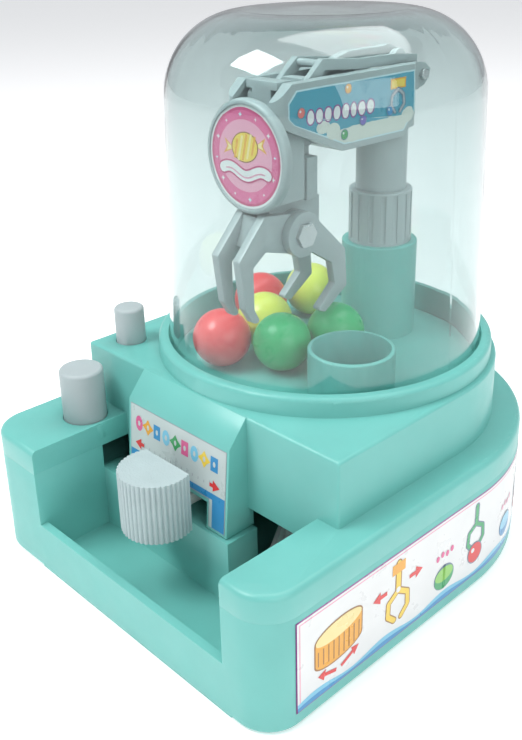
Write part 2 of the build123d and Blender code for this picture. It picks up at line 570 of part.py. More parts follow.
def lever_plate(path, bosses, x0, x1, width):
    """A flat lever along a bent path in Y and Z, with round bosses of (place, radius)."""
    with BuildPart(mode=Mode.PRIVATE) as plate:
        with BuildSketch(Plane.YZ.offset(x0)):
            with BuildLine():
                Polyline(*path)
            trace(line_width=width)
            for place, r in bosses:
                with Locations(place):
                    Circle(r)
            with Locations(BOOM_PIN):
                Circle(1.8 + RUN, mode=Mode.SUBTRACT)
        extrude(amount=x1 - x0)
    return plate.part


LIFT_LEVER_PATH = [BOOM_PIN, (51.2, 161), LIFT_BOSS, (24, 162.0), LIFT_BAR, (-2, 156.6), LIFT_NOSE]
GRIP_LEVER_PATH = [BOOM_PIN, (51.8, 161.8), (43.2, 164.6), (24, 164.4), (13, 161.4), (7, 154.9), GRIP_NOSE]
with BuildPart() as lift_lever:
    for x0 in (-6.6, 4.4):
        add(lever_plate(LIFT_LEVER_PATH, [(BOOM_PIN, 3.6), (LIFT_BOSS, 3.2), (LIFT_NOSE, 2.4)],
                        x0, x0 + 2.2, 3.4))
    rod_x(*LIFT_BAR, 1.3, -5, 5)
save(lift_lever.part, "lift_lever")

with BuildPart() as grip_lever:
    add(lever_plate(GRIP_LEVER_PATH, [(BOOM_PIN, 3.0), (GRIP_BOSS, 2.6), (GRIP_NOSE, 2.1)], -1.6, 1.6, 3.0))
save(grip_lever.part, "grip_lever")

# ---- claw carriage: the box that rides up and down in the boom's nose ----
with BuildPart() as claw_carriage:
    slab(-CARRIAGE_HALF, CARRIAGE_HALF, CARRIAGE_Y0, CARRIAGE_Y1, 123.6, TUBE_TOP)
    fillet(claw_carriage.edges().filter_by(Axis.Z), 1.2)
    slab(-CARRIAGE_HALF + 1.6, CARRIAGE_HALF - 1.6, CARRIAGE_Y0 + 1.6, CARRIAGE_Y1 - 1.6, 120, TUBE_TOP - 1.6,
         Mode.SUBTRACT)
    slab(-3.0, 3.0, CARRIAGE_Y0 + 4.2, CARRIAGE_Y1, 113, 125.2)
    slab(-3.0, 3.0, -13, 7.9, 112, 122)
    rod_x(*HUB, 7.3, -3.0, 3.0)
    slab(-3.9, 3.9, -14, -8, TUBE_TOP - 2, 158)
    slab(-6.6, 6.6, -14, -8, 158, 160.4)
    rod_x(*HUB, 2.0, -5, 5, Mode.SUBTRACT)
save(claw_carriage.part, "claw_carriage")

DISC_Z, DISC_R, DISC_T = 138.7, 17.5, 3.0
with BuildPart() as disc_cover:
    with BuildSketch(Plane.XZ.offset(-CARRIAGE_Y0)):
        with Locations((0, DISC_Z)):
            Circle(DISC_R)
    extrude(amount=DISC_T)
    fillet(disc_cover.edges().group_by(Axis.Y)[0], 1.2)
    with BuildSketch(Plane.XZ.offset(-CARRIAGE_Y0 + DISC_T - 0.5)):
        with Locations((0, DISC_Z)):
            Circle(15.9)
    extrude(amount=1, mode=Mode.SUBTRACT)
save(disc_cover.part, "disc_cover")

with BuildPart() as disc_sticker:
    with BuildSketch(Plane.XZ.offset(-CARRIAGE_Y0 + DISC_T - 0.5)):
        with Locations((0, DISC_Z)):
            Circle(15.7)
    extrude(amount=STICKER_T)
save(disc_sticker.part, "disc_sticker")

# ---- jaws: the front fork sits inside the rear one, on one pin ----
FRONT_PRONG = [(-5.5, 105.6), (-19.6, 109.6), (-25.0, 105.8), (-24.9, 92.0), (-22.2, 86.8), (-25.4, 87.6),
               (-28.6, 93.0), (-30.6, 109.0), (-19.6, 121.0), (-8.0, 119.4)]
REAR_PRONG = [(-2.2, 106.3), (7.2, 100.2), (8.8, 92.4), (0.4, 85.2), (4.0, 83.7), (14.6, 90.4),
              (13.6, 103.6), (-2.6, 119.3)]


def prong(outline, x0, x1):
    """One flat prong with its round hub."""
    with BuildPart(mode=Mode.PRIVATE) as arm:
        with BuildSketch(Plane.YZ.offset(x0)) as shape:
            Polygon(*outline, align=None)
            fillet(shape.vertices(), 0.9)
            with Locations(HUB):
                Circle(7.3)
        extrude(amount=x1 - x0)
    return arm.part


with BuildPart() as front_jaw:
    add(prong(FRONT_PRONG, 3.4, 6.3))
    add(prong(FRONT_PRONG, -6.3, -3.4))
    add(plate_x([(-23.0, 110.5), (-17.8, 110.5), (-17.2, 118.0), (-19.6, 120.0)], -4, 4))
    rod_x(*HUB, 2.0 + RUN, -8, 8, Mode.SUBTRACT)
save(front_jaw.part, "front_jaw")

for name, x0 in (("rear_jaw_left", -9.5), ("rear_jaw_right", 6.6)):
    with BuildPart() as rear_jaw:
        add(prong(REAR_PRONG, x0, x0 + 2.9))
        rod_x(*HUB, 1.99, x0 - 1, x0 + 4, Mode.SUBTRACT)
    save(rear_jaw.part, name)

with BuildPart() as jaw_pin:
    rod_x(*HUB, 1.98, -10.0, 10.0)
    for x0 in (-10.9, 9.5):
        with BuildSketch(Plane.YZ.offset(x0)):
            with Locations(HUB):
                RegularPolygon(4.2, 6)
        extrude(amount=1.4)
save(jaw_pin.part, "jaw_pin")

with BuildPart() as grip_bar:
    slab(-6.6, 6.6, BAR_Y0, BAR_Y1, 122.4, 136)
    slab(-3.0, 3.0, BAR_Y0, BAR_Y1, 134, 140)
    slab(-BAR_HALF, BAR_HALF, BAR_Y0, BAR_Y1, 139, 160)
    slab(-2.0, 2.0, BAR_Y0 - 1, BAR_Y1 + 1, 142, 157.1, Mode.SUBTRACT)
save(grip_bar.part, "grip_bar")


# ---- picture stickers on the casing ----
def front_sticker():
    """Sheet on the knob panel, cut out around the slot."""
    lean = atan2(PANEL_TOP_Y - PANEL_FOOT_Y, PANEL_TOP_Z - STEP_Z)
    face = Plane(origin=(0, PANEL_FOOT_Y, STEP_Z + 0.4), x_dir=(1, 0, 0), z_dir=(0, -cos(lean), sin(lean)))
    with BuildPart(mode=Mode.PRIVATE) as sheet:
        with BuildSketch(face):
            with Locations(((PANEL_LEFT + PANEL_RIGHT) / 2, 15.0)):
                RectangleRounded(PANEL_RIGHT - PANEL_LEFT - 1.6, 28.6, 0.8)
            with Locations(((SLOT_X0 + SLOT_X1) / 2, 0)):
                Rectangle(SLOT_X1 - SLOT_X0 + 1.6, 2 * (SLOT_TOP - STEP_Z + 0.4), mode=Mode.SUBTRACT)
        extrude(amount=STICKER_T)
    return sheet.part


save(front_sticker(), "panel_sticker")

SIDE_Z0, SIDE_Z1 = 5.0, 35.5
for name, side in (("side_sticker_right", 1), ("side_sticker_left", -1)):
    with BuildPart() as side_sticker:
        with BuildSketch(Plane.XY.offset(SIDE_Z0)):
            add(d_outline(-STICKER_T))
            add(d_outline(0), mode=Mode.SUBTRACT)
            with Locations((side * 50, 0)):
                Rectangle(100, 144, mode=Mode.INTERSECT)
        extrude(amount=SIDE_Z1 - SIDE_Z0)
    save(side_sticker.part, name)

# ---- loose balls on the play floor ----
BALLS = {"red_ball_front": (-17.4, -18.4), "green_ball_front": (0, -7), "yellow_ball_front": (-18, 2.2),
         "red_ball_back": (-33.6, 15.2), "yellow_ball_back": (-27.1, 35.8), "green_ball_back": (7, 12)}
for name, place in BALLS.items():
    with BuildPart() as ball:
        with Locations((*place, FLOOR_Z + BALL_R)):
            Sphere(BALL_R)
    save(ball.part, name)
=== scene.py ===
"""Toy claw crane machine: looks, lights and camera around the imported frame."""
import math
import bmesh
import bpy
from mathutils import Matrix, Vector


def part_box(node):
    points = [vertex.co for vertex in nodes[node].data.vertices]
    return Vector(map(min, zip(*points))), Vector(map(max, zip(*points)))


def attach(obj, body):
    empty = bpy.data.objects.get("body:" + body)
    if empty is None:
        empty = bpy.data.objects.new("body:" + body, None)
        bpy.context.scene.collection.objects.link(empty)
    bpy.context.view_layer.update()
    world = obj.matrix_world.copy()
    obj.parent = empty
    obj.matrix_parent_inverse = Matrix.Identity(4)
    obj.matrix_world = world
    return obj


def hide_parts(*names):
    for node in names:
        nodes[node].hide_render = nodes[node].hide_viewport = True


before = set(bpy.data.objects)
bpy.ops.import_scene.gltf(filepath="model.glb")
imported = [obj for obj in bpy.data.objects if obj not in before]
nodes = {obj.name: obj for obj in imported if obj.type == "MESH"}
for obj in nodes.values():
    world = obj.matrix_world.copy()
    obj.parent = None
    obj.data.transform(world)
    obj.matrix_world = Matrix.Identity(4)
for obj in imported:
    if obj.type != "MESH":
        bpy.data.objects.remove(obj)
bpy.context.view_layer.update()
MM = 0.001
MOTTLE_SCALE, GLOSS_SCALE = 60, 140
SKIN_DEPTH = 0.0004


# ---------- materials ----------
def principled(name):
    mat = bpy.data.materials.new(name)
    mat.use_nodes = True
    tree = mat.node_tree
    tree.nodes.clear()
    out = tree.nodes.new("ShaderNodeOutputMaterial")
    shader = tree.nodes.new("ShaderNodeBsdfPrincipled")
    tree.links.new(shader.outputs[0], out.inputs[0])
    return mat, tree, shader, out


def noise(tree, scale, detail=3.0, rough=0.55, offset=(0, 0, 0)):
    coords = tree.nodes.new("ShaderNodeTexCoord")
    place = tree.nodes.new("ShaderNodeMapping")
    place.inputs["Location"].default_value = offset
    tex = tree.nodes.new("ShaderNodeTexNoise")
    tex.inputs["Scale"].default_value = scale
    tex.inputs["Detail"].default_value = detail
    tex.inputs["Roughness"].default_value = rough
    tree.links.new(coords.outputs["Object"], place.inputs[0])
    tree.links.new(place.outputs[0], tex.inputs[0])
    return tex.outputs[0]


def ramp(tree, source, stops):
    r = tree.nodes.new("ShaderNodeValToRGB")
    r.color_ramp.elements[0].position, r.color_ramp.elements[0].color = stops[0][0], (*stops[0][1], 1)
    r.color_ramp.elements[1].position, r.color_ramp.elements[1].color = stops[-1][0], (*stops[-1][1], 1)
    for at, colour in stops[1:-1]:
        r.color_ramp.elements.new(at).color = (*colour, 1)
    tree.links.new(source, r.inputs[0])
    return r.outputs[0]


def shade(colour, k):
    return tuple(min(1.0, c * k) for c in colour)


def plastic(name, colour, rough=0.35, spread=0.06, grain=900, bump=0.05, coat=0.0, subsurface=0.0):
    """Moulded plastic: faint mottling, a little uneven gloss and a fine skin texture."""
    mat, tree, s, _ = principled(name)
    mottled = [(0.3, shade(colour, 1 - spread)), (0.7, shade(colour, 1 + spread))]
    tree.links.new(ramp(tree, noise(tree, MOTTLE_SCALE), mottled), s.inputs["Base Color"])
    lo, hi = max(0.02, rough - 0.05), min(1.0, rough + 0.07)
    uneven = [(0.3, (lo,) * 3), (0.75, (hi,) * 3)]
    tree.links.new(ramp(tree, noise(tree, GLOSS_SCALE, 4, 0.6, (3, 1, 2)), uneven), s.inputs["Roughness"])
    b = tree.nodes.new("ShaderNodeBump")
    b.inputs["Strength"].default_value = bump
    b.inputs["Distance"].default_value = SKIN_DEPTH
    tree.links.new(noise(tree, grain, 5, 0.6), b.inputs["Height"])
    tree.links.new(b.outputs[0], s.inputs["Normal"])
    s.inputs["Coat Weight"].default_value = coat
    s.inputs["Coat Roughness"].default_value = 0.12
    if subsurface:
        s.inputs["Subsurface Weight"].default_value = subsurface
        s.inputs["Subsurface Radius"].default_value = (0.6, 1.0, 0.9)
        s.inputs["Subsurface Scale"].default_value = 0.002
    return mat


def metal(name, colour, rough=0.3):
    mat = plastic(name, colour, rough, 0.08, 2200, 0.12)
    mat.node_tree.nodes["Principled BSDF"].inputs["Metallic"].default_value = 1.0
    return mat


def clear_dome(name):
    """Clear polystyrene; rays from lamps pass through it so the inside is lit."""
    mat, tree, s, out = principled(name)
    tint = [(0.3, (0.70, 0.78, 0.775)), (0.7, (0.725, 0.80, 0.795))]
    tree.links.new(ramp(tree, noise(tree, 25), tint), s.inputs["Base Color"])
    s.inputs["Transmission Weight"].default_value = 1.0
    s.inputs["Roughness"].default_value = 0.02
    s.inputs["IOR"].default_value = 1.5
    b = tree.nodes.new("ShaderNodeBump")
    b.inputs["Strength"].default_value = 0.06
    b.inputs["Distance"].default_value = 0.0006
    tree.links.new(noise(tree, 45, 2), b.inputs["Height"])
    tree.links.new(b.outputs[0], s.inputs["Normal"])
    path = tree.nodes.new("ShaderNodeLightPath")
    hole = tree.nodes.new("ShaderNodeBsdfTransparent")
    hole.inputs[0].default_value = (0.93, 0.965, 0.96, 1)
    mix = tree.nodes.new("ShaderNodeMixShader")
    tree.links.new(path.outputs["Is Shadow Ray"], mix.inputs[0])
    tree.links.new(s.outputs[0], mix.inputs[1])
    tree.links.new(hole.outputs[0], mix.inputs[2])
    tree.links.new(mix.outputs[0], out.inputs[0])
    return mat


MINT = (0.145, 0.46, 0.42)
PALE = (0.35, 0.405, 0.415)
mint = plastic("mint", MINT, 0.36, 0.03, 1000, 0.05, subsurface=0.12)
mint_floor = plastic("mint_play_floor", shade(MINT, 0.93), 0.42, 0.04, 1000, 0.06, subsurface=0.12)
pale = plastic("pale", PALE, 0.33, 0.03, 900, 0.06, subsurface=0.1)
pale_cap = plastic("pale_caps", shade(PALE, 1.05), 0.45, 0.03, 1500, 0.12, subsurface=0.1)
knob_mat = plastic("knob_texture", (0.40, 0.49, 0.50), 0.7, 0.05, 1800, 0.55)
inner = plastic("inner_white", (0.72, 0.74, 0.72), 0.5, 0.04, 900, 0.08)
steel = metal("zinc", (0.62, 0.63, 0.64), 0.28)
spring_steel = metal("spring_wire", (0.5, 0.5, 0.5), 0.22)
ball_mats = {"red": plastic("ball_red", (0.80, 0.045, 0.05), 0.3, 0.05, 500, 0.05, 0.15, 0.15),
             "green": plastic("ball_green", (0.008, 0.42, 0.14), 0.3, 0.05, 500, 0.05, 0.15, 0.15),
             "yellow": plastic("ball_yellow", (0.66, 0.70, 0.09), 0.3, 0.05, 500, 0.05, 0.15, 0.15)}
INK = {"white": (0.86, 0.88, 0.88), "pink": (0.80, 0.13, 0.33), "rose": (0.90, 0.40, 0.55),
       "magenta": (0.62, 0.05, 0.20), "yellow": (0.95, 0.68, 0.07), "amber": (0.90, 0.42, 0.03),
       "straw": (0.95, 0.80, 0.35), "blue": (0.04, 0.30, 0.62), "sky": (0.22, 0.62, 0.84),
       "ice": (0.62, 0.85, 0.93), "red": (0.78, 0.04, 0.04), "green": (0.05, 0.42, 0.16),
       "lime": (0.30, 0.66, 0.14), "plum": (0.34, 0.06, 0.32), "slate": (0.16, 0.24, 0.34),
       "grey": (0.42, 0.46, 0.50), "brown": (0.36, 0.16, 0.04), "violet": (0.20, 0.14, 0.55),
       "sea": (0.05, 0.36, 0.50), "cloud": (0.74, 0.78, 0.72), "coral": (0.85, 0.18, 0.16),
       "leaf": (0.05, 0.40, 0.12), "paper": (0.62, 0.70, 0.69)}
INK_STRENGTH = 0.8
ink_mats = {k: plastic("ink_" + k, shade(c, INK_STRENGTH), 0.3, 0.03, 300, 0.04, 0.35) for k, c in INK.items()}

LOOK = [(mint, ["base_plate", "lower_shell", "upper_shell"]),
        (mint_floor, ["play_floor"]),
        (pale, ["column_sleeve", "column_tube", "boom_left", "boom_right", "claw_carriage", "disc_cover",
                "front_jaw", "rear_jaw_left", "rear_jaw_right", "grip_bar", "lift_lever", "grip_lever"]),
        (pale_cap, ["lift_button", "grip_button"]),
        (knob_mat, ["knob"]),
        (inner, ["ball_ramp", "column_bearing", "lift_bracket", "grip_bracket", "knob_lever", "column_gear",
                 "lift_rod", "grip_rod", "lift_rocker", "grip_rocker"]),
        (steel, ["base_screws", "lever_pin", "lift_rocker_pin", "grip_rocker_pin", "boom_pin", "jaw_pin"]),
        (spring_steel, ["lift_spring", "grip_spring"]),
        (clear_dome("clear_dome"), ["dome"])]
# rounded moulding edges, in mm
BEVEL = {"lower_shell": 0.35, "upper_shell": 0.45, "play_floor": 0.3, "claw_carriage": 0.35,
         "disc_cover": 0.4, "front_jaw": 0.45, "rear_jaw_left": 0.45, "rear_jaw_right": 0.45,
         "grip_bar": 0.3, "lift_lever": 0.35, "grip_lever": 0.35, "knob": 0.18, "lift_button": 0.3,
         "grip_button": 0.3, "column_sleeve": 0.4, "ball_ramp": 0.3, "knob_lever": 0.3}
for mat, names in LOOK:
    for n in names:
        o = nodes[n]
        for held in o.material_slots:
            held.material = mat
        o.data.polygons.foreach_set("use_smooth", [True] * len(o.data.polygons))
        if n == "dome":
            continue
        if n in BEVEL:
            weld = o.modifiers.new("weld", "WELD")
            weld.merge_threshold = 1e-6
            bev = o.modifiers.new("bevel", "BEVEL")
            bev.width = BEVEL[n] * MM
            bev.segments = 2
            bev.limit_method = "ANGLE"
            bev.angle_limit = math.radians(40)
            bev.use_clamp_overlap = True
            bev.harden_normals = False
        o.data.set_sharp_from_angle(angle=math.radians(32))


def piece(name, bm, body, replaced, mats):
    mesh = bpy.data.meshes.new(name)
    bm.to_mesh(mesh)
    bm.free()
    o = bpy.data.objects.new(name, mesh)
    bpy.context.scene.collection.objects.link(o)
    for m in mats:
        mesh.materials.append(m)
    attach(o, body)
    if replaced:
        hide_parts(*replaced)
    return o


# ---------- loose balls, with the faint seam of their mould ----------
for n in [x for x in nodes if "_ball_" in x]:
    lo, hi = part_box(n)
    r = (hi.z - lo.z) / 2
    bm = bmesh.new()
    bmesh.ops.create_uvsphere(bm, u_segments=64, v_segments=40, radius=r)
    for v in bm.verts:
        v.co *= 1 - 0.006 * math.exp(-((v.co.z / (0.02 * r)) ** 2))
    for f in bm.faces:
        f.smooth = True
    tilt = Matrix.Rotation(0.7 + 0.9 * (len(n) % 5), 4, "X") @ Matrix.Rotation(0.5 * (ord(n[0]) % 7), 4, "Y")
    bmesh.ops.transform(bm, matrix=Matrix.Translation((lo + hi) / 2) @ tilt, verts=bm.verts)
    colour = n.split("_")[0]
    piece(n + "_skin", bm, "base", [n], [ball_mats[colour]])


# ---------- printed stickers: flat coloured shapes laid over a sheet ----------
def blob(cx, cy, rx, ry=None, n=28, turn=0.0):
    """Circle or ellipse of n points."""
    ry = rx if ry is None else ry
    cos_t, sin_t = math.cos(turn), math.sin(turn)
    out = []
    for i in range(n):
        a = 2 * math.pi * i / n
        x, y = rx * math.cos(a), ry * math.sin(a)
        out.append((cx + x * cos_t - y * sin_t, cy + x * sin_t + y * cos_t))
    return out


def rect(x0, y0, x1, y1):
    return [(x0, y0), (x1, y0), (x1, y1), (x0, y1)]


def bar(p, q, w):
    """Straight stroke of width w from p to q."""
    d = Vector((q[0] - p[0], q[1] - p[1])).normalized() * (w / 2)
    return [(p[0] - d.y, p[1] + d.x), (p[0] + d.y, p[1] - d.x),
            (q[0] + d.y, q[1] - d.x), (q[0] - d.y, q[1] + d.x)]


def line(points, w):
    """Bent stroke with round joints, as a list of shapes."""
    out = [bar(p, q, w) for p, q in zip(points, points[1:])]
    return out + [blob(*p, w / 2, n=10) for p in points]


def arrow(p, q, w):
    d = Vector((q[0] - p[0], q[1] - p[1])).normalized()
    n = Vector((-d.y, d.x)) * w * 1.5
    neck = (q[0] - d.x * 2.4 * w, q[1] - d.y * 2.4 * w)
    return [bar(p, neck, w), [q, (neck[0] + n.x, neck[1] + n.y), (neck[0] - n.x, neck[1] - n.y)]]


def star(cx, cy, r, points=4, inner_r=0.4):
    out = []
    for i in range(2 * points):
        reach, a = (r if i % 2 == 0 else r * inner_r), math.pi * i / points
        out.append((cx + reach * math.sin(a), cy + reach * math.cos(a)))
    return out


class Print:
    """Coloured shapes on one sheet, on layers 0 to 10.

    at(u, v, h) gives a point in mm from the two directions of the sheet and the height over its back. Shapes are
    cut every step mm along u where the sheet is curved. Shapes on one layer differ a hair in height, so that where
    two overlap they never lie in the same plane.
    """

    LAYERS, HAIR, CYCLE = 10.6, 0.0009, 13

    def __init__(self, at, step, base, top):
        self.at, self.step, self.base, self.top = at, step, base, top
        self.bm, self.inks, self.count = bmesh.new(), [], 0

    def add(self, ink, layer, *shapes):
        if ink not in self.inks:
            self.inks.append(ink)
        for points in shapes:
            self.count += 1
            h = self.base + (self.top - self.base) * layer / self.LAYERS + self.HAIR * (self.count % self.CYCLE)
            one = bmesh.new()
            one.faces.new([one.verts.new((x, y, 0)) for x, y in points])
            bmesh.ops.triangulate(one, faces=one.faces)
            if self.step:
                us = [v.co.x for v in one.verts]
                k = math.ceil(min(us) / self.step)
                while k * self.step < max(us):
                    geom = one.verts[:] + one.edges[:] + one.faces[:]
                    cut = (k * self.step, 0, 0)
                    bmesh.ops.bisect_plane(one, geom=geom, plane_co=cut, plane_no=(1, 0, 0))
                    k += 1
            made = {}
            for v in one.verts:
                made[v] = self.bm.verts.new(Vector(self.at(v.co.x, v.co.y, h)) * MM)
            for f in one.faces:
                new = self.bm.faces.new([made[v] for v in f.verts])
                new.material_index = self.inks.index(ink)
                new.smooth = True
            one.free()

    def done(self, name, body, node, outward):
        self.bm.normal_update()
        for f in self.bm.faces:
            if f.normal.dot(outward(f.calc_center_median())) < 0:
                f.normal_flip()
        return piece(name, self.bm, body, [node], [ink_mats[i] for i in self.inks])


def box_mm(node):
    lo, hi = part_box(node)
    return [c / MM for c in lo], [c / MM for c in hi]


# boom sides: a blue sky over white cloud, a little claw and coloured sweets
for node, side in (("boom_sticker_left", -1), ("boom_sticker_right", 1)):
    lo, hi = box_mm(node)
    face = lo[0] if side < 0 else hi[0]
    y0, y1, z0, z1 = lo[1], hi[1], lo[2], hi[2]
    edge = [(y1, z1), (y1, z0 + 6.2), (y1 - 5.4, z0), (y0 + 24.8, z0 + 0.3), (y0 + 2.4, z0 + 9.5),
            (y0, z0 + 11.7), (y0, z1 - 3.4), (y0 + 3.1, z1)]
    mid_y, mid_z = (sum(p[k] for p in edge) / len(edge) for k in (0, 1))
    inside = [(mid_y + (y - mid_y) * (1 - 0.5 / 26), mid_z + (z - mid_z) * (1 - 0.5 / 9)) for y, z in edge]

    def on_boom(u, v, h, face=face, side=side):
        return (face - side * (0.28 - h), u, v)

    art = Print(on_boom, 0, 0.03, 0.26)
    art.add("ice", 0, edge)
    art.add("sea", 1, inside)
    # cloud along the foot, thicker toward the column
    for i in range(10):
        cy = y0 + 15 + i * 4.6
        low = z0 + 0.9 + max(0.0, (24.8 - (cy - y0)) * 0.41) + max(0.0, (cy - y1 + 5.4) * 1.15)
        art.add("cloud", 2, blob(cy, low + 2.2, 3.1, 2.0 + 0.6 * (i % 2), 20))
    art.add("cloud", 2, [(y0 + 16, z0 + 4.4), (y0 + 24.8, z0 + 0.8), (y1 - 5.6, z0 + 0.5), (y1 - 1.5, z0 + 5.4),
                         (y0 + 30, z0 + 5.6)])
    # in place of wording: a row of plain white pips
    for i in range(8):
        u, v = y0 + 9.4 + i * 3.9, z0 + 10.9 - 0.05 * i
        art.add("plum", 4, blob(u, v, 1.95, 2.5, 16))
        art.add("white", 5, blob(u, v, 1.5, 2.05, 16))
    # claw
    cy, cz = y1 - 9.0, z1 - 6.2
    art.add("amber", 5, rect(cy - 3.6, cz + 1.0, cy + 3.6, cz + 4.4))
    art.add("yellow", 6, rect(cy - 3.0, cz + 1.5, cy + 3.0, cz + 3.9))
    for w, ink, layer in ((1.5, "slate", 7), (0.8, "grey", 8)):
        for d in (-1, 1):
            art.add(ink, layer, *line([(cy, cz + 0.8), (cy + d * 2.6, cz - 1.2), (cy + d * 3.0, cz - 4.4),
                                       (cy + d * 1.3, cz - 6.4)], w))
    sweets = [("coral", 5.2, 12.8), ("amber", 26.0, 17.4), ("leaf", 24.6, 3.4), ("violet", 33.4, 6.6),
              ("blue", 47.0, 7.6)]
    for ink, dy, dz in sweets:
        art.add("slate", 8, blob(y0 + dy, z0 + dz, 1.75))
        art.add(ink, 9, blob(y0 + dy, z0 + dz, 1.45))
        art.add("white", 10, blob(y0 + dy - 0.5, z0 + dz + 0.5, 0.4, n=10))
    art.done(node + "_print", "crane", node, lambda c, side=side: Vector((side, 0, 0)))

# disc on the crane's nose: pink roundel with a wrapped sweet
lo, hi = box_mm("disc_sticker")
cx, cz, cr = (lo[0] + hi[0]) / 2, (lo[2] + hi[2]) / 2, (hi[2] - lo[2]) / 2
art = Print(lambda u, v, h: (u, hi[1] - 0.02 - h, v), 0, 0.03, 0.26)
art.add("white", 0, blob(cx, cz, cr, n=64))
art.add("magenta", 1, blob(cx, cz, cr * 0.955, n=64))
art.add("pink", 2, blob(cx, cz, cr * 0.9, n=64))
art.add("rose", 3, blob(cx, cz + 0.4, cr * 0.74, cr * 0.7, n=48))
for i in range(12):
    a = 2 * math.pi * i / 12 + 0.13
    at_x, at_z = cx + cr * 0.82 * math.cos(a), cz + cr * 0.82 * math.sin(a)
    art.add("white" if i % 3 else "ice", 4, star(at_x, at_z, 0.9 if i % 2 else 0.6, 4))
for s in (-1, 1):
    tip = (cx + s * 4.6, cz + 3.1 + s * 1.0)
    art.add("amber", 4, [tip, (tip[0] + s * 4.4, tip[1] + 3.0), (tip[0] + s * 3.2, tip[1] + 0.4),
                         (tip[0] + s * 4.9, tip[1] - 1.9)])
    art.add("straw", 5, [tip, (tip[0] + s * 3.3, tip[1] + 1.8), (tip[0] + s * 2.6, tip[1] + 0.4),
                         (tip[0] + s * 3.6, tip[1] - 0.9)])
art.add("brown", 5, blob(cx, cz + 3.1, 5.9, 4.7, 36, 0.2))
art.add("yellow", 6, blob(cx, cz + 3.1, 5.5, 4.3, 36, 0.2))
for i in range(-2, 3):
    half = 4.1 * math.sqrt(max(0.05, 1 - (i / 2.9) ** 2))
    x, z = cx + i * 1.9, cz + 3.1 + i * 0.4
    stripe = bar((x - 0.25 * half, z - half), (x + 0.25 * half, z + half), 0.85)
    art.add("straw" if i % 2 else "amber", 7, stripe)
# in place of wording: a plain white ribbon
ribbon = [(cx - 9.8 + i * 1.4, cz - 4.6 + 1.1 * math.sin(i * 0.62 + 0.3)) for i in range(15)]
art.add("magenta", 8, *line(ribbon, 4.3))
art.add("white", 9, *line(ribbon, 3.2))
art.add("rose", 10, *line([(x, y - 0.5) for x, y in ribbon[1:-1]], 0.5))
art.done("disc_print", "carriage", "disc_sticker", lambda c: Vector((0, -1, 0)))

# knob panel: rainbow pips, tick marks, arrows and blue band round the slot
lo, hi = box_mm("panel_sticker")
foot, head = (lo[1], lo[2]), (hi[1], hi[2])
lean = math.atan2(hi[1] - lo[1] - 0.3, hi[2] - lo[2])
nose = Vector((0, -math.cos(lean), math.sin(lean)))
rise = Vector((0, math.sin(lean), math.cos(lean)))
corner = Vector((lo[0], lo[1] + 0.3 * math.cos(lean) - 0.01, lo[2]))
tall = (hi[2] - lo[2]) / math.cos(lean)
wide = hi[0] - lo[0]


def on_panel(u, v, h):
    return corner + Vector((u, 0, 0)) + rise * v + nose * (h + 0.02)


# slot's two sides and top, on the sheet
s0, s1, st = -15.6 - 0.8 - lo[0], 12.8 + 0.8 - lo[0], 10.0
art = Print(on_panel, 0, 0.03, 0.24)
art.add("grey", 0, [(0.1, st - 0.4), (s0, st - 0.4), (s0, 0.1), (0.1, 0.1)],
        [(wide - 0.1, 0.1), (s1, 0.1), (s1, st - 0.4), (wide - 0.1, st - 0.4)],
        rect(0.1, st - 0.4, wide - 0.1, tall - 0.1))
art.add("paper", 1, rect(0.4, st, wide - 0.4, tall - 0.4), rect(0.4, 0.3, s0 - 0.3, st),
        rect(wide - 0.4, 0.3, s1 + 0.3, st))
art.add("blue", 2, rect(0.4, st, wide - 0.4, st + 2.2), rect(0.4, 0.3, s0 - 1.6, st),
        rect(wide - 0.4, 0.3, s1 + 1.6, st))
rainbow = ["pink", "amber", "blue", "sky", "leaf", "pink", "sky", "yellow", "blue"]
for i, ink in enumerate(rainbow):
    u, v = wide * (0.10 + 0.098 * i), tall - 6.3
    form = (blob(u, v, 1.85, 2.7, 20), star(u, v, 2.9, 4, 0.6), rect(u - 1.7, v - 2.5, u + 1.7, v + 2.5))[i % 3]
    art.add(ink, 3, form)
    art.add("paper", 4, blob(u, v, 0.6, 0.95, 12))
for i in range(13):
    u = wide * (0.16 + 0.057 * i)
    art.add("grey", 3, bar((u, st + 4.4), (u, st + (6.2 if i % 6 == 0 else 5.3)), 0.3))
for u0, d in ((6.0, -1), (wide - 6.0, 1)):
    art.add("red", 5, *arrow((u0 - d * 1.4, st + 5.0), (u0 + d * 3.2, st + 5.0), 1.3))
art.done("panel_print", "base", "panel_sticker", lambda c: nose)

